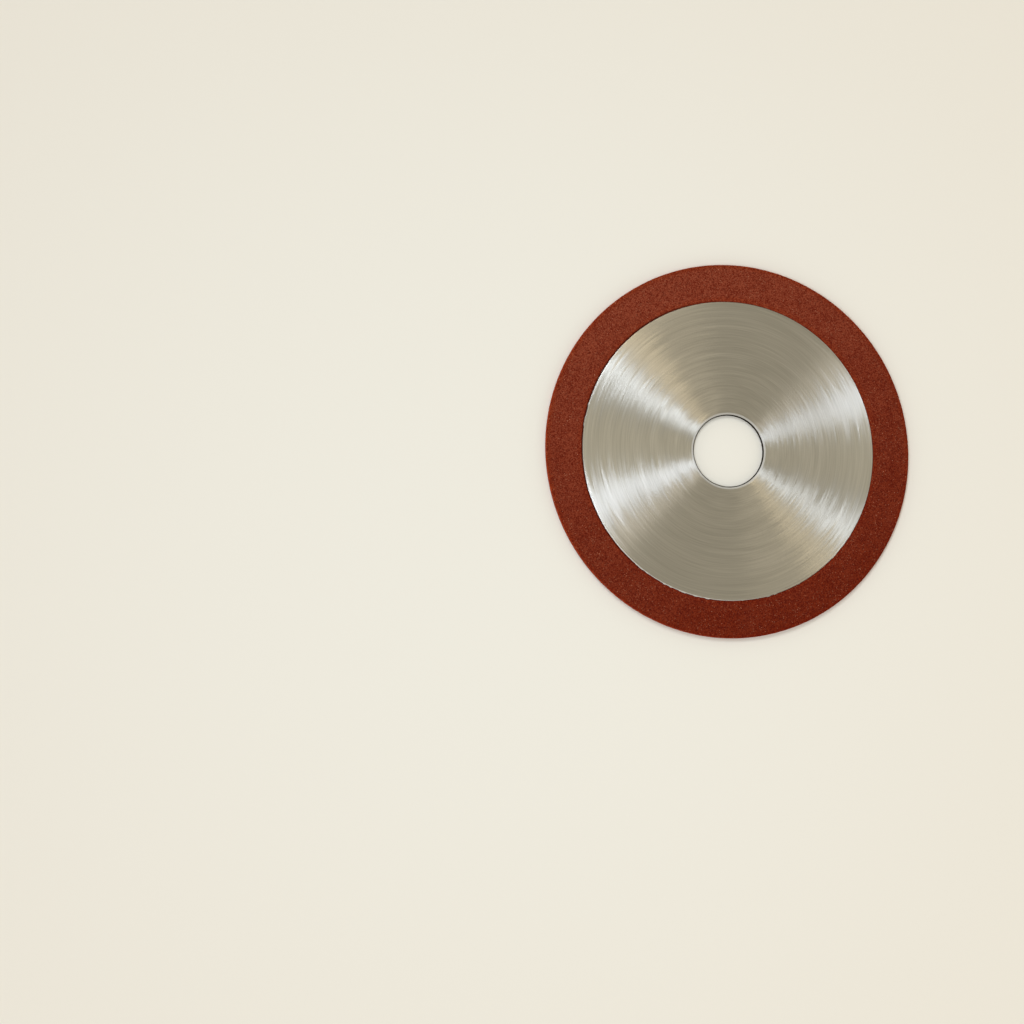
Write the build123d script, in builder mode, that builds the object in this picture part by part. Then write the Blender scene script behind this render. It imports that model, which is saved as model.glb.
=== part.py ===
from build123d import *
import os

# A resin-bond diamond saw blade: a thin steel core with an abrasive rim moulded round its edge.
# The blade's axis is Z, and the origin is the centre of the bore on the blade's middle plane.

# Driving dimensions, in millimetres
blade_diameter = 105.0
bore_diameter = 20.0
rim_width = 10.5
rim_thickness = 1.6

# Each face of the rim stands this far proud of the core, so the core runs clear in the cut.
side_relief = 0.2

# Edge breaks
bore_chamfer = 0.3
rim_corner_bevel = 0.15
rim_lip_bevel = 0.08

# The core's edge is stepped down on both sides to a tongue, which the rim is moulded round.
# The tongue is thinner at its root than at its tip, so the rim can't be thrown off outwards.
shoulder_step = 0.25
tongue_undercut = 0.1

# Half-round notches in the tongue's edge fill with bond, so the rim can't slip round the core.
key_notch_radius = 0.8
key_notch_count = 36
tongue_root_land = 0.4

# Sizes that follow from those above
blade_radius = blade_diameter / 2
bore_radius = bore_diameter / 2
core_radius = blade_radius - rim_width
core_thickness = rim_thickness - 2 * side_relief
core_face = core_thickness / 2
tongue_tip_radius = core_radius + tongue_root_land + key_notch_radius
tongue_tip_face = core_face - shoulder_step
tongue_root_face = tongue_tip_face - tongue_undercut

os.makedirs("parts", exist_ok=True)


# Core: a turned steel disc with a chamfered bore and a notched dovetail tongue round its edge
with BuildPart() as core_disc:
    with BuildSketch(Plane.XZ) as core_section:
        with BuildLine():
            Polyline(
                (bore_radius, 0),
                (bore_radius, core_face - bore_chamfer),
                (bore_radius + bore_chamfer, core_face),
                (core_radius, core_face),
                (core_radius, tongue_root_face),
                (tongue_tip_radius, tongue_tip_face),
                (tongue_tip_radius, 0),
                close=True,
            )
        make_face()
        mirror(about=Plane.XZ)
    revolve(axis=Axis.Z)
    with PolarLocations(tongue_tip_radius, key_notch_count):
        Hole(key_notch_radius)

core_disc.part.label = "core_disc"
export_step(core_disc.part, "parts/core_disc.step")


# Rim: one moulded ring of diamond grain in resin, with the core's tongue and notches cast into it
with BuildPart() as abrasive_rim:
    with BuildSketch(Plane.XZ) as rim_section:
        with Locations((core_radius, 0)):
            Rectangle(rim_width, rim_thickness, align=(Align.MIN, Align.CENTER))
        corners = rim_section.vertices().group_by(Axis.X)
        chamfer(corners[-1], rim_corner_bevel)
        chamfer(corners[0], rim_lip_bevel)
    revolve(axis=Axis.Z)
    add(core_disc.part, mode=Mode.SUBTRACT)

abrasive_rim.part.label = "abrasive_rim"
export_step(abrasive_rim.part, "parts/abrasive_rim.step")
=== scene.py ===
"""Looks of the diamond saw blade: a brushed steel core in a moulded rim of diamond grain and red resin."""
import math

import bmesh
import bpy
from mathutils import Matrix, Vector


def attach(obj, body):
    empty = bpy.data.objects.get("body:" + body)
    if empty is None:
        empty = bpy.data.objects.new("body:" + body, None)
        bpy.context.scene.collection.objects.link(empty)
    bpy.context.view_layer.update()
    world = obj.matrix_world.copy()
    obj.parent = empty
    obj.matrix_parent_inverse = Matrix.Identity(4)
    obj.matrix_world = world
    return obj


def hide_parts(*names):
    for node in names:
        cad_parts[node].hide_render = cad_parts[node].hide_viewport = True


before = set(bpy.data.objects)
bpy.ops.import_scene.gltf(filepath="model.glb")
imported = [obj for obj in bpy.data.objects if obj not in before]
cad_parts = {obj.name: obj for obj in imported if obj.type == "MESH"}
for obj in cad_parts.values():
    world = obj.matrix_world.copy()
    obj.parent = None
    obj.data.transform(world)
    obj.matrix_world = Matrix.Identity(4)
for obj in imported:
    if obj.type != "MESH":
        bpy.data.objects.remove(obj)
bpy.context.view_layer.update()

MM = 0.001

# The blade's own sizes, in millimetres, as its source has them
BLADE_RADIUS = 52.5
BORE_RADIUS = 10.0
CORE_RADIUS = 42.0
CORE_FACE = 0.6
RIM_FACE = 0.8
TONGUE_ROOT_FACE = 0.25
TONGUE_TIP_FACE = 0.35
TONGUE_TIP_RADIUS = 43.2
KEY_NOTCH_RADIUS = 0.8
KEY_NOTCH_COUNT = 36

# The bond has worn back a little between the grains that stand at the rim's full thickness
BOND_FACE = 0.77

# Flats round the core and the rim: a whole number to each key notch, and fine enough for the joint's nicks
FLATS = 33 * KEY_NOTCH_COUNT

# The rim's section counts as face above this height, in millimetres, and as lip or wall below it
FACE_FLOOR = 0.65

# Directions from the axis to the sides where the wear, the open seam or the brushing differs, and where shade,
# light and a highlight are painted on
FAR_SIDE = (0.97, 0.26, 0.0)
BURR_HIGHLIGHT_SIDE = (-0.53, -0.848, 0.0)
SPREAD_SIDE = (-0.643, -0.766, 0.0)
OPEN_SEAM_SIDE = (-0.94, -0.342, 0.0)
SEAM_SHADOW_SIDE = (-0.982, 0.191, 0.0)
PAINTED_LIGHT_SIDE = (-0.375, 0.927, 0.0)

# The camera stands here, in metres, tilted off straight down and turned round the axis, in degrees
CAMERA_PLACE = (-0.422504, -0.186516, 1.521764)
CAMERA_TILT = 14.645
CAMERA_TURN = 204.973

# Lamps stand at one distance from the blade, in metres
LAMP_DISTANCE = 1.6

# The floor's half width and the part of it that is shaded, in metres
FLOOR_REACH = 8.0
SHADED_REACH = 0.3


# Node building


class Nodes:
    """Lays out a node tree: every call adds nodes, joins their inputs and returns an output socket."""

    def __init__(self, tree):
        self.tree = tree
        tree.nodes.clear()

    def add(self, kind, inputs=None, out=0, **settings):
        node = self.tree.nodes.new(kind)
        for name, value in settings.items():
            setattr(node, name, value)
        for key, value in (inputs or {}).items():
            self.join(node.inputs[key], value)
        return node.outputs[out] if out is not None else node

    def join(self, socket, value):
        if isinstance(value, bpy.types.NodeSocket):
            self.tree.links.new(value, socket)
        else:
            socket.default_value = value

    def math(self, operation, a, b=0.0, clamp=False):
        return self.add("ShaderNodeMath", {0: a, 1: b}, operation=operation, use_clamp=clamp)

    def vector(self, operation, a, b=None, scale=None, out=0):
        inputs = {0: a}
        if b is not None:
            inputs[1] = b
        if scale is not None:
            inputs["Scale"] = scale
        return self.add("ShaderNodeVectorMath", inputs, out, operation=operation)

    def parts(self, vector):
        node = self.add("ShaderNodeSeparateXYZ", {0: vector}, None)
        return node.outputs[0], node.outputs[1], node.outputs[2]

    def joined(self, x=0.0, y=0.0, z=0.0):
        return self.add("ShaderNodeCombineXYZ", {0: x, 1: y, 2: z})

    def ramp(self, value, low, high, from_value=0.0, to_value=1.0, smooth=True):
        kind = "SMOOTHSTEP" if smooth else "LINEAR"
        inputs = {"Value": value, "From Min": low, "From Max": high}
        inputs.update({"To Min": from_value, "To Max": to_value})
        return self.add("ShaderNodeMapRange", inputs, interpolation_type=kind)

    def towards(self, direction, side, low, high, from_value=0.0, to_value=1.0):
        """A value that changes as a direction nears a side."""
        nearness = self.vector("DOT_PRODUCT", direction, side, out="Value")
        return self.ramp(nearness, low, high, from_value, to_value)

    def mix(self, share, a, b, blend="MIX"):
        node = self.add("ShaderNodeMix", None, None, data_type="RGBA", blend_type=blend)
        for key, value in (("Factor_Float", share), ("A_Color", a), ("B_Color", b)):
            socket = next(s for s in node.inputs if s.identifier == key)
            self.join(socket, value)
        return next(s for s in node.outputs if s.identifier == "Result_Color")

    def noise(self, vector, detail=2.0, rough=0.5, scale=1.0):
        inputs = {"Vector": vector, "Scale": scale, "Detail": detail, "Roughness": rough}
        return self.add("ShaderNodeTexNoise", inputs, "Fac")

    def centred(self, value, size):
        """A noise value moved to run either side of nought, times a size."""
        return self.math("MULTIPLY", self.math("SUBTRACT", value, 0.5), size)

    def summed(self, *values):
        total = values[0]
        for value in values[1:]:
            total = self.math("ADD", total, value)
        return total

    def millimetres(self):
        """A point of the surface in the object's own coordinates, in millimetres."""
        return self.vector("SCALE", self.add("ShaderNodeTexCoord", None, "Object"), scale=1 / MM)

    def noted(self, geometry, name, value, kind, domain):
        """Geometry with a value noted on its points or corners under a name."""
        inputs = {"Geometry": geometry, "Name": name, "Value": value}
        return self.add("GeometryNodeStoreNamedAttribute", inputs, data_type=kind, domain=domain)

    def recalled(self, name, kind):
        """A value noted before, by its name."""
        return self.add("GeometryNodeInputNamedAttribute", {"Name": name}, data_type=kind)


def colour(r, g, b):
    return (r, g, b, 1.0)


def in_scene(name, data):
    """A new object of the given mesh, lamp or lens, linked to the scene."""
    holder = bpy.data.objects.new(name, data)
    bpy.context.scene.collection.objects.link(holder)
    return holder


# Sections, drawn in millimetres as (radius, height) and turned round the axis


def steps(start, end, count):
    """Evenly spaced values from start to end, both ends in it."""
    return [start + (end - start) * i / (count - 1) for i in range(count)]


def shifted(radius, points):
    """Points given by their distance out from a radius and their height."""
    return [(radius + out, height) for out, height in points]


def core_upper_half():
    """The steel core's half section: bore wall, worn lip, face, rolled outer edge and tongue."""
    bore = shifted(BORE_RADIUS, [(0.0, 0.0), (0.0, 0.26), (0.02, 0.3), (0.08, 0.345), (0.2, 0.43)])
    lip = shifted(BORE_RADIUS, [(0.32, 0.505), (0.42, 0.552), (0.52, 0.58), (0.64, 0.593), (0.8, 0.599)])
    face = [(r, CORE_FACE) for r in [BORE_RADIUS + 0.95] + steps(11.5, 41.3, 10) + [CORE_RADIUS - 0.2]]
    roll = shifted(CORE_RADIUS, [(-0.13, 0.595), (-0.07, 0.58), (-0.025, 0.55), (0.0, 0.5), (0.0, 0.36)])
    tongue = [(CORE_RADIUS, TONGUE_ROOT_FACE), (TONGUE_TIP_RADIUS, TONGUE_TIP_FACE)]
    return bore + lip + face + roll + tongue


def rim_upper_half():
    """The abrasive rim's half section: key groove, inner lip, upper face, bevelled corner, outer wall."""
    groove = [(TONGUE_TIP_RADIUS, 0.0), (TONGUE_TIP_RADIUS, TONGUE_TIP_FACE)]
    groove.append((CORE_RADIUS, TONGUE_ROOT_FACE))
    lip = shifted(CORE_RADIUS, [(0.0, 0.35), (0.08, 0.4), (0.17, 0.48), (0.2, 0.64), (0.24, 0.71)])
    face = [(r, BOND_FACE) for r in [CORE_RADIUS + 0.34] + steps(42.6, 52.1, 25)]
    corner = shifted(BLADE_RADIUS, [(-0.2, 0.76), (-0.12, 0.735), (-0.06, 0.69)])
    wall = shifted(BLADE_RADIUS, [(-0.02, 0.62), (0.0, 0.45)])
    return groove + lip + face + corner + wall


def mirrored(half):
    """The whole section as one closed run: the half, then its mirror image below the middle plane."""
    below = [(r, -z) for r, z in reversed(half) if z > 0]
    return half + below + [half[0]]


def section_object(name, points, tips):
    """A section as loose points that know their share of the way along and if they are on the tongue's tip."""
    mesh = bpy.data.meshes.new(name)
    mesh.from_pydata([(r * MM, 0.0, z * MM) for r, z in points], [], [])
    lengths = [0.0]
    for a, b in zip(points, points[1:]):
        lengths.append(lengths[-1] + math.dist(a, b))
    along = mesh.attributes.new("along", "FLOAT", "POINT")
    along.data.foreach_set("value", [length / lengths[-1] for length in lengths])
    tip = mesh.attributes.new("tip", "FLOAT", "POINT")
    tip.data.foreach_set("value", [1.0 if point in tips else 0.0 for point in points])
    return in_scene(name, mesh)


def making_tree(name, inputs):
    """An empty tree that turns geometry into a piece, with its named inputs."""
    tree = bpy.data.node_groups.new(name, "GeometryNodeTree")
    for label, kind in inputs.items():
        tree.interface.new_socket(label, in_out="INPUT", socket_type="NodeSocket" + kind)
    tree.interface.new_socket("Piece", in_out="OUTPUT", socket_type="NodeSocketGeometry")
    n = Nodes(tree)
    return tree, n, n.add("NodeGroupInput", None, None).outputs


def notched(n, given, turn, radius, height, tip):
    """Draws the tongue's tip in to the floor of each key notch, down the tongue's own slope."""
    pitch = n.math("DIVIDE", 2 * math.pi, given["Notches"])
    from_notch = n.math("PINGPONG", turn, n.math("MULTIPLY", pitch, 0.5))
    side = n.math("MULTIPLY", given["Tip radius"], n.math("SINE", from_notch))
    left = n.math("SUBTRACT", n.math("POWER", given["Notch radius"], 2.0), n.math("POWER", side, 2.0))
    depth = n.math("SQRT", n.math("MAXIMUM", left, 0.0))
    reach = n.math("MULTIPLY", given["Tip radius"], n.math("COSINE", from_notch))
    floor_radius = n.math("SUBTRACT", reach, depth)
    in_notch = n.math("MULTIPLY", tip, n.math("GREATER_THAN", left, 0.0))
    drop = n.math("MULTIPLY", in_notch, n.math("SUBTRACT", radius, floor_radius))
    slope = (TONGUE_TIP_FACE - TONGUE_ROOT_FACE) / (TONGUE_TIP_RADIUS - CORE_RADIUS)
    lower = n.math("MULTIPLY", n.math("MULTIPLY", drop, slope), n.math("SIGN", height))
    return n.math("SUBTRACT", radius, drop), n.math("SUBTRACT", height, lower)


def turning_tree(name, relief):
    """Turns a section round the axis, notches the tongue's tip and lets relief() shape the surface."""
    sizes = {"Sides": "Int", "Notches": "Int", "Notch radius": "Float", "Tip radius": "Float"}
    tree, n, given = making_tree(name, {"Section": "Geometry", **sizes, "Finish": "Material"})
    section = given["Section"]
    count = n.add("GeometryNodeAttributeDomainSize", {0: section}, "Point Count", component="MESH")
    rows = n.math("ADD", given["Sides"], 1.0)
    spread = {"Size X": 1.0, "Size Y": 1.0, "Vertices X": count, "Vertices Y": rows}
    grid = n.add("GeometryNodeMeshGrid", spread, "Mesh")
    across, round_axis, _ = n.parts(n.add("GeometryNodeInputPosition"))
    last = n.math("SUBTRACT", count, 1.0)
    place = n.math("ROUND", n.math("MULTIPLY", n.math("ADD", across, 0.5), last))

    def read(kind, value):
        return n.add("GeometryNodeSampleIndex", {0: section, 1: value, 2: place}, data_type=kind)

    radius, _, height = n.parts(read("FLOAT_VECTOR", n.add("GeometryNodeInputPosition")))
    tip = read("FLOAT", n.recalled("tip", "FLOAT"))
    along = read("FLOAT", n.recalled("along", "FLOAT"))
    share = n.math("ADD", round_axis, 0.5)
    turn = n.math("MULTIPLY", share, 2 * math.pi)
    radius, height = notched(n, given, turn, radius, height, tip)
    direction = n.joined(n.math("COSINE", turn), n.math("SINE", turn))
    radius, height = relief(n, radius, height, direction)
    spot = n.vector("ADD", n.vector("SCALE", direction, scale=radius), n.joined(z=height))

    mapped = n.noted(grid, "OFBake", n.joined(along, share), "FLOAT2", "CORNER")
    turned = n.add("GeometryNodeSetPosition", {"Geometry": mapped, "Position": spot})
    closed = n.add("GeometryNodeMergeByDistance", {"Geometry": turned, "Distance": 1e-7})
    smooth = n.add("GeometryNodeSetShadeSmooth", {"Geometry": closed})
    whole = n.add("GeometryNodeRealizeInstances", {"Geometry": smooth})
    done = n.add("GeometryNodeSetMaterial", {"Geometry": whole, "Material": given["Finish"]})
    n.add("NodeGroupOutput", {0: done}, None)
    return tree


def plain_mesh(maker, tree, values):
    """Runs a tree on an object with the given inputs and leaves a plain mesh that faces outwards."""
    modifier = maker.modifiers.new("Making", "NODES")
    modifier.node_group = tree
    for item in tree.interface.items_tree:
        if item.in_out == "INPUT" and item.name in values:
            modifier[item.identifier] = values[item.name]
    seen = maker.evaluated_get(bpy.context.evaluated_depsgraph_get())
    mesh = bpy.data.meshes.new_from_object(seen)
    maker.modifiers.clear()
    old = maker.data
    maker.data = mesh
    bpy.data.meshes.remove(old)
    shell = bmesh.new()
    shell.from_mesh(mesh)
    bmesh.ops.recalc_face_normals(shell, faces=shell.faces)
    shell.to_mesh(mesh)
    shell.free()
    return maker


# Finishes


def new_material(name):
    material = bpy.data.materials.new(name)
    material.use_nodes = True
    return material, Nodes(material.node_tree)


def finish_with(n, constants, inputs):
    """A shader with its plain values on its own sockets and the patterns joined to the rest."""
    shader = n.add("ShaderNodeBsdfPrincipled", None, None)
    for name, value in constants.items():
        shader.inputs[name].default_value = value
    for name, value in inputs.items():
        n.join(shader.inputs[name], value)
    n.add("ShaderNodeOutputMaterial", {"Surface": shader.outputs[0]}, None)


def polar(n):
    """A point of the surface and its radius, in millimetres, and the direction outwards from the axis."""
    spot = n.millimetres()
    x, y, _ = n.parts(spot)
    flat = n.joined(x, y)
    return spot, n.vector("LENGTH", flat, out="Value"), n.vector("NORMALIZE", flat)


def arcs(n, spot, length, width, seed, centre=(0.0, 0.0)):
    """Brush marks round a centre: the greater the length value, the shorter each; width in millimetres."""
    x, y, z = n.parts(n.vector("SUBTRACT", spot, (*centre, 0.0)))
    flat = n.joined(x, y)
    turned = n.vector("SCALE", n.vector("NORMALIZE", flat), scale=length)
    side = n.math("MULTIPLY", n.math("SIGN", z), 37.0)
    climb = n.math("DIVIDE", n.vector("LENGTH", flat, out="Value"), width)
    climb = n.math("ADD", climb, n.math("ADD", side, seed))
    return n.noise(n.vector("ADD", turned, n.joined(z=climb)), 0.0, 0.5)


def brushed_normal(n, spot, radius, outward, middle, rings):
    """The steel's normal: tilted by brush marks, ridged by turned rings and bowed on the far side."""
    around = n.vector("CROSS_PRODUCT", (0.0, 0.0, 1.0), outward)
    fine = arcs(n, spot, 3.0, 0.30, 0.0)
    crossed = arcs(n, spot, 3.2, 0.33, 200.0, (1.4, 1.0))
    aside = n.summed(n.centred(fine, 0.08), n.centred(middle, 0.02), n.centred(crossed, 0.04))

    near_bore = n.ramp(radius, BORE_RADIUS + 1.2, BORE_RADIUS + 3.6, 1.0, 0.0)
    ring_depth = n.math("ADD", 0.03, n.math("MULTIPLY", near_bore, 0.12))
    ridge = n.math("MULTIPLY", n.math("SUBTRACT", rings, 0.5), ring_depth)
    inner_bow = n.ramp(radius, BORE_RADIUS, 24.0, 0.045, 0.055)
    bow = n.math("ADD", inner_bow, n.ramp(radius, 27.0, 39.0, 0.0, -0.075))
    bow = n.math("MULTIPLY", bow, n.towards(outward, FAR_SIDE, 0.4, 1.0))
    outwards = n.summed(n.centred(middle, 0.025), n.centred(crossed, 0.03), ridge, bow)

    normal = n.add("ShaderNodeTexCoord", None, "Normal")
    normal = n.vector("ADD", normal, n.vector("SCALE", around, scale=aside))
    normal = n.vector("ADD", normal, n.vector("SCALE", outward, scale=outwards))
    return n.vector("NORMALIZE", normal)


def brushed_steel():
    """Bright steel brushed round the axis: fine arcs that cross a little, and turned rings near the bore."""
    material, n = new_material("brushed_core_steel")
    spot, radius, outward = polar(n)
    middle = arcs(n, spot, 2.4, 0.6, 100.0)
    grey = arcs(n, spot, 2.6, 0.29, 300.0)
    recrossed = arcs(n, spot, 3.2, 0.31, 400.0, (-1.3, 1.3))
    broad = arcs(n, spot, 1.4, 2.2, 500.0)
    rings = arcs(n, spot, 0.3, 0.32, 600.0)
    normal = brushed_normal(n, spot, radius, outward, middle, rings)

    lip = n.ramp(radius, BORE_RADIUS + 0.62, BORE_RADIUS + 0.9, 1.0, 0.0)
    # Painted shade: the bore's edge and wall are painted dark steel, standing in for the shadow round the bore
    bore_painted_shade = n.ramp(radius, BORE_RADIUS + 0.2, BORE_RADIUS + 0.3, 1.0, 0.0)
    at_joint = n.ramp(radius, CORE_RADIUS - 0.25, CORE_RADIUS - 0.1)
    # Steel spread into the rim's lip on one side, painted pale and matt there as a painted highlight along the
    # core's edge
    burr_and_highlight = n.math("MULTIPLY", at_joint, n.towards(outward, BURR_HIGHLIGHT_SIDE, 0.55, 0.95))

    marks = n.math("ADD", n.centred(grey, 0.75), n.centred(recrossed, 0.5))
    shade = n.summed(0.5, marks, n.centred(rings, 0.4), n.centred(broad, 0.35))
    shade = n.ramp(shade, 0.0, 1.0, smooth=False)
    tone = n.mix(shade, colour(0.536, 0.512, 0.464), colour(0.712, 0.68, 0.624))
    tone = n.mix(lip, tone, colour(0.63, 0.615, 0.585))
    # Painted shade at the bore's edge: dark steel where the bore's shadow falls
    tone = n.mix(bore_painted_shade, tone, colour(0.036, 0.030, 0.024))
    # The pale burr colour is partly real spread steel and partly a painted highlight
    tone = n.mix(n.math("MULTIPLY", burr_and_highlight, 0.8), tone, colour(0.74, 0.72, 0.69))

    matt_lip = n.math("MULTIPLY", n.math("SUBTRACT", lip, bore_painted_shade), 0.5)
    metal = n.math("SUBTRACT", 1.0, n.math("ADD", matt_lip, n.math("MULTIPLY", burr_and_highlight, 0.6)))

    worn = n.math("MAXIMUM", n.math("ADD", n.centred(middle, 0.03), n.centred(broad, 0.03)), 0.0)
    outer = n.ramp(radius, 30.0, 41.0, 0.0, 0.010)
    edge = n.ramp(radius, CORE_RADIUS - 0.4, CORE_RADIUS - 0.15, 0.0, 0.1)
    rough = n.summed(0.2745, outer, worn, n.math("MULTIPLY", lip, 0.26), edge)
    patterns = {
        "Base Color": tone,
        "Metallic": metal,
        "Roughness": rough,
        "Normal": normal,
        "Tangent": n.add("ShaderNodeTangent", direction_type="UV_MAP", uv_map="OFBake"),
    }
    finish_with(n, {"Anisotropic": 1.0}, patterns)
    return material


def resin_and_grain():
    """Red-brown resin packed with fine grain: speckled, pitted, redder where fresh, painted paler towards its
    lit side, with a painted shadow by the seam on one side and a painted highlight on its outer wall.
    """
    material, n = new_material("red_resin_bond")
    spot, radius, outward = polar(n)
    cloud = n.noise(spot, 2.0, 0.5, 0.16)
    mottle = n.noise(spot, 2.0, 0.6, 0.8)
    grain = n.noise(spot, 1.5, 0.6, 3.5)
    cells = n.add("ShaderNodeTexVoronoi", {"Vector": spot, "Scale": 2.3}, None, feature="F1")
    chance, _, _ = n.parts(cells.outputs["Color"])
    chance = n.math("ADD", chance, n.ramp(radius, CORE_RADIUS + 0.4, CORE_RADIUS + 1.6, 0.1, 0.0))
    inside = n.ramp(cells.outputs["Distance"], 0.18, 0.5, 1.0, 0.0)
    speck = n.math("MULTIPLY", n.ramp(chance, 0.80, 0.97), inside)
    pit = n.math("MULTIPLY", n.ramp(chance, 0.08, 0.3, 1.0, 0.0), inside)

    # Painted light: the bond is painted paler towards the lit side and darker away from it, with a random
    # cloudy tone on top
    toward_painted_light = n.vector("DOT_PRODUCT", spot, PAINTED_LIGHT_SIDE, out="Value")
    side = n.math("ADD", n.ramp(toward_painted_light, -50.0, 50.0, smooth=False), n.centred(cloud, 0.6), clamp=True)
    bond = n.mix(side, colour(0.124, 0.0118, 0.0026), colour(0.185, 0.0313, 0.0132))
    shade = n.summed(0.54, n.centred(grain, 4.2), n.centred(mottle, 0.8))
    shade = n.ramp(shade, 0.0, 1.0, smooth=False)
    speckle = n.mix(shade, colour(0.64, 0.30, 0.14), colour(1.34, 1.68, 1.88))
    bond = n.mix(1.0, bond, speckle, "MULTIPLY")

    fresh_lip = n.ramp(radius, CORE_RADIUS + 0.2, CORE_RADIUS + 2.2, 0.8, 0.0)
    fresh_edge = n.ramp(radius, BLADE_RADIUS - 1.7, BLADE_RADIUS - 0.3, 0.0, 1.0)
    redder = n.mix(1.0, bond, colour(1.02, 0.78, 0.5), "MULTIPLY")
    bond = n.mix(n.math("MAXIMUM", fresh_lip, fresh_edge), bond, redder)
    bond = n.mix(n.math("MULTIPLY", pit, 0.7), bond, colour(0.065, 0.006, 0.001))
    bond = n.mix(n.math("MULTIPLY", speck, 0.5), bond, colour(0.34, 0.13, 0.07))
    # Painted shadow: the rim's inner edge is painted dark along the joint on one side, standing in for the
    # lip's shadow there
    at_seam = n.ramp(radius, CORE_RADIUS + 0.3, CORE_RADIUS + 0.75, 1.0, 0.0)
    painted_seam_shadow = n.math("MULTIPLY", at_seam, n.towards(outward, SEAM_SHADOW_SIDE, 0.2, 0.75, 0.0, 0.75))
    bond = n.mix(painted_seam_shadow, bond, colour(0.045, 0.004, 0.001))
    # Painted highlight: the outer wall and corner are painted a brighter orange-red, standing in for light
    # catching the rim's edge
    wall = n.ramp(radius, BLADE_RADIUS - 0.2, BLADE_RADIUS - 0.05)
    painted_wall_light = n.mix(shade, colour(0.20, 0.014, 0.001), colour(0.42, 0.055, 0.01))
    bond = n.mix(n.math("MULTIPLY", wall, 0.8), bond, painted_wall_light)

    specks_and_pits = n.math("ADD", n.math("MULTIPLY", speck, 0.06), n.math("MULTIPLY", pit, -0.08))
    height = n.math("ADD", n.math("MULTIPLY", grain, 0.07), specks_and_pits)
    bump = n.add("ShaderNodeBump", {"Strength": 0.7, "Distance": MM, "Height": height})
    rough = n.ramp(mottle, 0.3, 0.7, 0.64, 0.76)
    finish_with(n, {"Specular IOR Level": 0.06}, {"Base Color": bond, "Roughness": rough, "Normal": bump})
    return material


def bared_grain():
    """Grains bared in the bond: most are stained as red as the bond is, and a few are pale."""
    material, n = new_material("bared_diamond_grain")
    tone = n.add("ShaderNodeAttribute", None, "Fac", attribute_name="grain_tone")
    stain = n.noise(n.millimetres(), 1.0, 0.5, 6.0)
    red = n.ramp(tone, 0.0, 0.75, smooth=False)
    body = n.mix(red, colour(0.09, 0.010, 0.002), colour(0.22, 0.045, 0.018))
    body = n.mix(n.ramp(tone, 0.80, 1.0), body, colour(0.48, 0.20, 0.12))
    body = n.mix(n.ramp(stain, 0.4, 0.65, 0.0, 0.4), body, colour(0.16, 0.02, 0.005))
    rough = n.ramp(stain, 0.3, 0.7, 0.35, 0.6)
    finish_with(n, {"Specular IOR Level": 0.15}, {"Base Color": body, "Roughness": rough})
    return material


# Reliefs, in metres: each takes and gives back the radius and height of a point of the turned surface


def joint_shift(n, direction):
    """How far out the joint of core and rim strays at an angle: a slight wave, and nicks on the worn side."""
    wave = n.centred(n.noise(direction, 2.0, 0.5, 5.0), 0.5 * MM)
    nick = n.ramp(n.noise(direction, 2.0, 0.6, 17.0), 0.56, 0.62, 0.0, 0.16 * MM)
    outward_only = n.math("MAXIMUM", n.math("ADD", wave, nick), 0.0)
    return n.math("MULTIPLY", outward_only, n.towards(direction, SPREAD_SIDE, -0.3, 0.5))


def upper_lip(n, share, height):
    """A share that counts only on the upper side, above the joint's own depth."""
    return n.math("MULTIPLY", share, n.math("GREATER_THAN", height, 0.45 * MM))


def spread_edge(n, radius, height, direction):
    """The core's outer edge follows the joint, where its steel has spread into the rim's lip."""
    near_edge = n.ramp(radius, (CORE_RADIUS - 0.6) * MM, (CORE_RADIUS - 0.05) * MM)
    before_tongue = n.math("LESS_THAN", radius, (CORE_RADIUS + 0.1) * MM)
    at_edge = upper_lip(n, n.math("MULTIPLY", near_edge, before_tongue), height)
    return n.math("ADD", radius, n.math("MULTIPLY", joint_shift(n, direction), at_edge)), height


def moulded_relief(n, radius, height, direction):
    """Grit sunk in the rim's faces and wall, which only takes away, and a lip that follows the joint."""
    spot = n.vector("ADD", n.vector("SCALE", direction, scale=radius), n.joined(z=height))
    fine = n.noise(n.vector("SCALE", spot, scale=1 / MM), 2.0, 0.6, 1.7)
    on_face = n.math("GREATER_THAN", n.math("ABSOLUTE", height), FACE_FLOOR * MM)
    sunk = n.math("MULTIPLY", n.math("MULTIPLY", fine, on_face), 0.06 * MM)

    lip_start, lip_end = (CORE_RADIUS + 0.35) * MM, (CORE_RADIUS + 1.5) * MM
    at_lip = upper_lip(n, n.ramp(radius, lip_start, lip_end, 1.0, 0.0, smooth=False), height)
    closed_up = n.towards(direction, OPEN_SEAM_SIDE, -0.5, 0.1, -0.14 * MM, 0.0)
    shift = n.math("ADD", joint_shift(n, direction), closed_up)
    lip_radius = n.math("ADD", radius, n.math("MULTIPLY", shift, at_lip))

    at_wall = n.ramp(radius, (BLADE_RADIUS - 0.3) * MM, (BLADE_RADIUS - 0.05) * MM)
    wall = n.math("MULTIPLY", n.math("MULTIPLY", n.math("ADD", fine, 0.12), at_wall), 0.08 * MM)
    height = n.math("SUBTRACT", height, n.math("MULTIPLY", sunk, n.math("SIGN", height)))
    return n.math("SUBTRACT", lip_radius, wall), height


# Pieces


def turned_piece(name, half, relief, material):
    """A piece turned from its half section, with the key notches and a relief."""
    tips = [(TONGUE_TIP_RADIUS, height) for height in (TONGUE_TIP_FACE, -TONGUE_TIP_FACE, 0.0)]
    values = {
        "Sides": FLATS,
        "Notches": KEY_NOTCH_COUNT,
        "Notch radius": KEY_NOTCH_RADIUS * MM,
        "Tip radius": TONGUE_TIP_RADIUS * MM,
        "Finish": material,
    }
    section = section_object(name, mirrored(half), tips)
    return plain_mesh(section, turning_tree("Turned " + name, relief), values)


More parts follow.
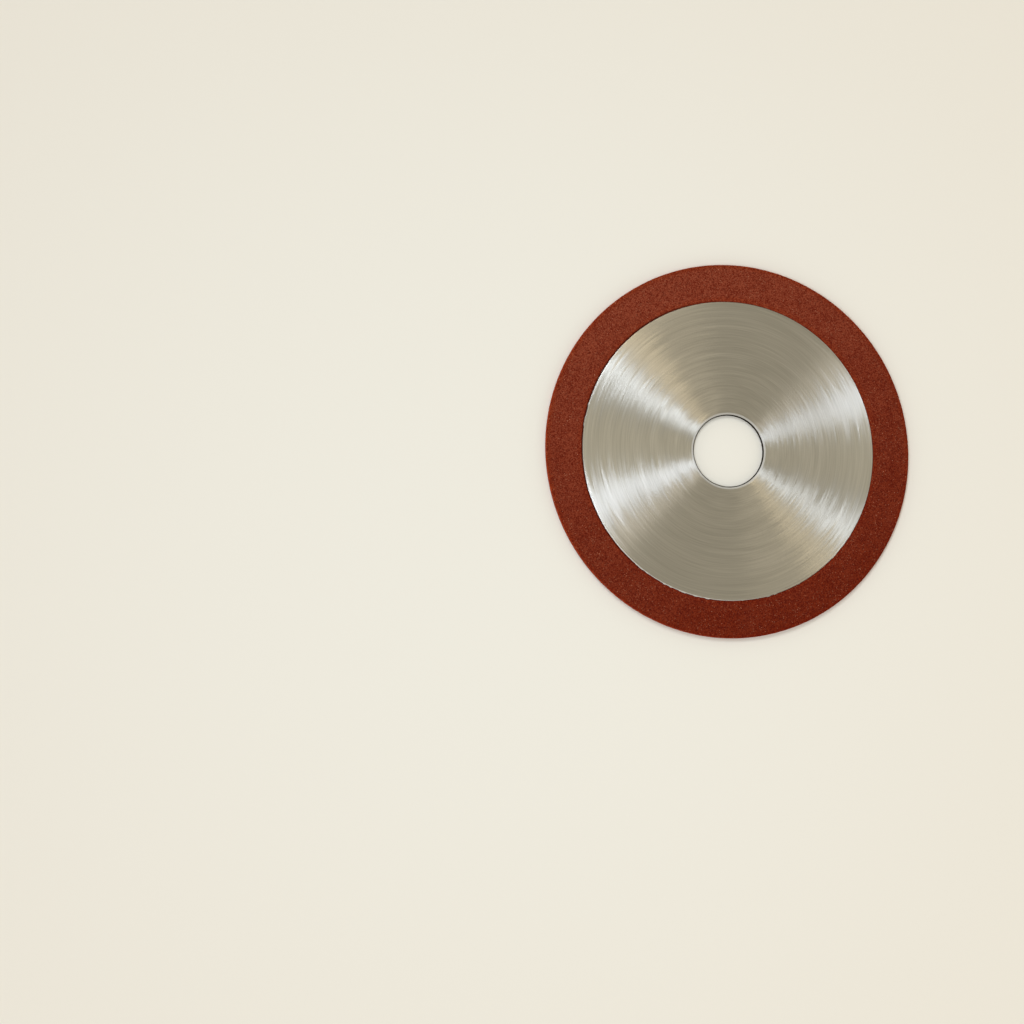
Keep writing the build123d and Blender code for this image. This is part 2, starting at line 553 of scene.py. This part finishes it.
def open_bond(n):
    """Where grains can be bared: the rim's faces clear of the lip, and its outer wall."""
    x, y, z = n.parts(n.add("GeometryNodeInputPosition"))
    radius = n.vector("LENGTH", n.joined(x, y), out="Value")
    on_face = n.math("GREATER_THAN", n.math("ABSOLUTE", z), (FACE_FLOOR + 0.01) * MM)
    open_face = n.math("MULTIPLY", on_face, n.math("GREATER_THAN", radius, (CORE_RADIUS + 0.7) * MM))
    return n.math("MAXIMUM", open_face, n.math("GREATER_THAN", radius, (BLADE_RADIUS - 0.1) * MM))


def held_inside(n, grains, given):
    """Grains cut off where they would stand past the rim's own radius or thickness."""
    x, y, z = n.parts(n.add("GeometryNodeInputPosition"))
    radius = n.vector("LENGTH", n.joined(x, y), out="Value")
    past = n.math("MINIMUM", 1.0, n.math("DIVIDE", given["Outer radius"], radius))
    thickness = given["Half thickness"]
    level = n.math("MAXIMUM", n.math("MINIMUM", z, thickness), n.math("MULTIPLY", thickness, -1.0))
    place = n.joined(n.math("MULTIPLY", x, past), n.math("MULTIPLY", y, past), level)
    return n.add("GeometryNodeSetPosition", {"Geometry": grains, "Position": place})


def mapped_in_rows(n, grains, points):
    """Grains with a patch of the map for each, laid out in rows."""
    count = n.add("GeometryNodeAttributeDomainSize", {0: points}, "Point Count", component="POINTCLOUD")
    across = n.math("CEIL", n.math("SQRT", count))
    number = n.recalled("grain_index", "INT")
    column = n.math("FLOORED_MODULO", number, across)
    row = n.math("FLOOR", n.math("DIVIDE", number, across))
    patch = n.vector("ADD", n.recalled("ball_map", "FLOAT_VECTOR"), n.joined(column, row))
    flat = n.vector("SCALE", patch, scale=n.math("DIVIDE", 1.0, across))
    return n.noted(grains, "OFBake", flat, "FLOAT2", "CORNER")


def grain_tree():
    """Scatters grains over the rim's faces and wall, half sunk in the bond."""
    spread = {"Per square metre": "Float", "Seed": "Int"}
    sizes = {"Least half width": "Float", "Most half width": "Float"}
    limits = {"Outer radius": "Float", "Half thickness": "Float"}
    inputs = {"Bond": "Geometry", **spread, **sizes, **limits, "Finish": "Material"}
    tree, n, given = making_tree("Scattered grains", inputs)

    def chance(low, high, draw):
        seed = n.math("ADD", given["Seed"], draw)
        return n.add("FunctionNodeRandomValue", {2: low, 3: high, "Seed": seed}, 1, data_type="FLOAT")

    sowing = {"Mesh": given["Bond"], "Selection": open_bond(n), "Density": given["Per square metre"]}
    sowing["Seed"] = given["Seed"]
    sown = n.add("GeometryNodeDistributePointsOnFaces", sowing, None, distribute_method="RANDOM")
    index = n.add("GeometryNodeInputIndex")
    points = n.noted(sown.outputs["Points"], "grain_index", index, "INT", "POINT")
    points = n.noted(points, "grain_tone", chance(0.0, 1.0, 1), "FLOAT", "POINT")

    small, large = given["Least half width"], given["Most half width"]
    size = n.joined(chance(small, large, 2), chance(small, large, 3), n.math("MULTIPLY", small, 0.7))
    ball = n.add("GeometryNodeMeshIcoSphere", {"Radius": 1.0, "Subdivisions": 1}, None)
    ball = n.noted(ball.outputs["Mesh"], "ball_map", ball.outputs["UV Map"], "FLOAT2", "CORNER")
    spin = {"Rotation": sown.outputs["Rotation"], "Rotate By": n.joined(z=chance(0.0, 6.28, 4))}
    spun = n.add("FunctionNodeRotateRotation", spin, rotation_space="LOCAL")
    placing = {"Points": points, "Instance": ball, "Rotation": spun, "Scale": size}
    placed = n.add("GeometryNodeInstanceOnPoints", placing)
    whole = n.add("GeometryNodeRealizeInstances", {"Geometry": placed})
    mapped = mapped_in_rows(n, held_inside(n, whole, given), points)
    done = n.add("GeometryNodeSetMaterial", {"Geometry": mapped, "Material": given["Finish"]})
    n.add("NodeGroupOutput", {0: done}, None)
    return tree


def scattered_grains(bond, material):
    """One piece with all the bared grains, sown on a copy of the bond's surface."""
    values = {
        "Per square metre": 1.15e6,
        "Least half width": 0.06 * MM,
        "Most half width": 0.14 * MM,
        "Seed": 7,
        "Outer radius": (BLADE_RADIUS - 0.02) * MM,
        "Half thickness": RIM_FACE * MM,
        "Finish": material,
    }
    return plain_mesh(in_scene("bared_grains", bond.data.copy()), grain_tree(), values)


core = turned_piece("steel_core", core_upper_half(), spread_edge, brushed_steel())
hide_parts("core_disc")
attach(core, "root")

rim = turned_piece("moulded_rim", rim_upper_half(), moulded_relief, resin_and_grain())
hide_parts("abrasive_rim")
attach(rim, "root")

grains = scattered_grains(rim, bared_grain())
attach(grains, "root")


# Floor, light and camera


def make_floor():
    """A pale matt floor under the rim, a little paler round the blade and shaded from side to side."""
    corners = [(-1, -1), (1, -1), (1, 1), (-1, 1)]
    mesh = bpy.data.meshes.new("floor")
    places = [(x * FLOOR_REACH, y * FLOOR_REACH, -RIM_FACE * MM) for x, y in corners]
    mesh.from_pydata(places, [], [(0, 1, 2, 3)])
    floor = in_scene("floor", mesh)

    material, n = new_material("pale_floor")
    spot = n.add("ShaderNodeTexCoord", None, "Object")
    spot = n.vector("MAXIMUM", spot, (-SHADED_REACH, -SHADED_REACH, 0.0))
    x, y, _ = n.parts(n.vector("MINIMUM", spot, (SHADED_REACH, SHADED_REACH, 0.0)))
    even = n.summed(1.0, n.math("MULTIPLY", x, 0.27), n.math("MULTIPLY", y, -0.22))
    away = n.vector("DISTANCE", n.joined(x, y), (-0.06, -0.015, 0.0), out="Value")
    paint = n.mix(n.ramp(away, 0.02, 0.24), colour(0.817, 0.796, 0.740), colour(0.793, 0.751, 0.681))
    paint = n.vector("SCALE", paint, scale=even)
    finish_with(n, {"Roughness": 0.9, "Specular IOR Level": 0.0}, {"Base Color": paint})
    mesh.materials.append(material)


def panel(name, azimuth, elevation, half_size, radiance):
    """A rectangular lamp that faces the blade's middle, placed by its direction."""
    a, e = math.radians(azimuth), math.radians(elevation)
    back = Vector((math.cos(a) * math.cos(e), math.sin(a) * math.cos(e), math.sin(e)))
    lamp = bpy.data.lights.new(name, "AREA")
    lamp.shape = "RECTANGLE"
    lamp.size, lamp.size_y = 2 * half_size[0], 2 * half_size[1]
    level = max(radiance)
    lamp.color = [value / level for value in radiance]
    lamp.energy = level * math.pi * lamp.size * lamp.size_y
    holder = in_scene(name, lamp)
    holder.location = back * LAMP_DISTANCE
    holder.rotation_mode = "QUATERNION"
    holder.rotation_quaternion = back.to_track_quat("Z", "Y")


def make_world():
    """Soft light from all round, darker overhead than near the floor."""
    world = bpy.data.worlds.new("studio")
    world.use_nodes = True
    bpy.context.scene.world = world
    n = Nodes(world.node_tree)
    _, _, up = n.parts(n.add("ShaderNodeTexCoord", None, "Generated"))
    shade = n.mix(n.ramp(up, 0.34, 0.66), colour(1.0, 0.95, 0.85), colour(0.40, 0.369, 0.2875))
    ground = n.add("ShaderNodeBackground", {"Color": shade, "Strength": 1.0})
    n.add("ShaderNodeOutputWorld", {"Surface": ground}, None)


def make_camera():
    """The photograph's viewing angle, with a long lens."""
    tilt, turn = math.radians(CAMERA_TILT), math.radians(CAMERA_TURN)
    back = Vector((math.sin(tilt) * math.cos(turn), math.sin(tilt) * math.sin(turn), math.cos(tilt)))
    right = Vector((0, 1, 0)).cross(back).normalized()
    up = back.cross(right)
    lens = bpy.data.cameras.new("camera")
    lens.lens = 200.0
    lens.sensor_width = 36.0
    lens.clip_end = 50.0
    camera = in_scene("camera", lens)
    turned = Matrix((right, up, back)).transposed().to_4x4()
    camera.matrix_world = Matrix.Translation(CAMERA_PLACE) @ turned
    bpy.context.scene.camera = camera


make_floor()
make_world()
panel("left_panel", 201.3, 64.0, half_size=(0.146, 0.405), radiance=(7.3, 8.3, 9.9))
panel("back_panel", 121.0, 57.1, half_size=(0.088, 0.261), radiance=(14.7, 16.6, 19.1))
panel("warm_panel", 105.0, 53.1, half_size=(0.120, 0.210), radiance=(6.1, 5.1, 3.4))
panel("soft_panel", 86.0, 55.0, half_size=(0.220, 0.240), radiance=(0.81, 0.71, 0.53))
panel("fill_panel", 164.0, 68.6, half_size=(0.306, 0.275), radiance=(1.25, 1.19, 0.94))
panel("side_panel", 225.8, 62.5, half_size=(0.113, 0.332), radiance=(3.2, 2.95, 2.6))
make_camera()
bpy.context.scene.view_settings.view_transform = "Standard"
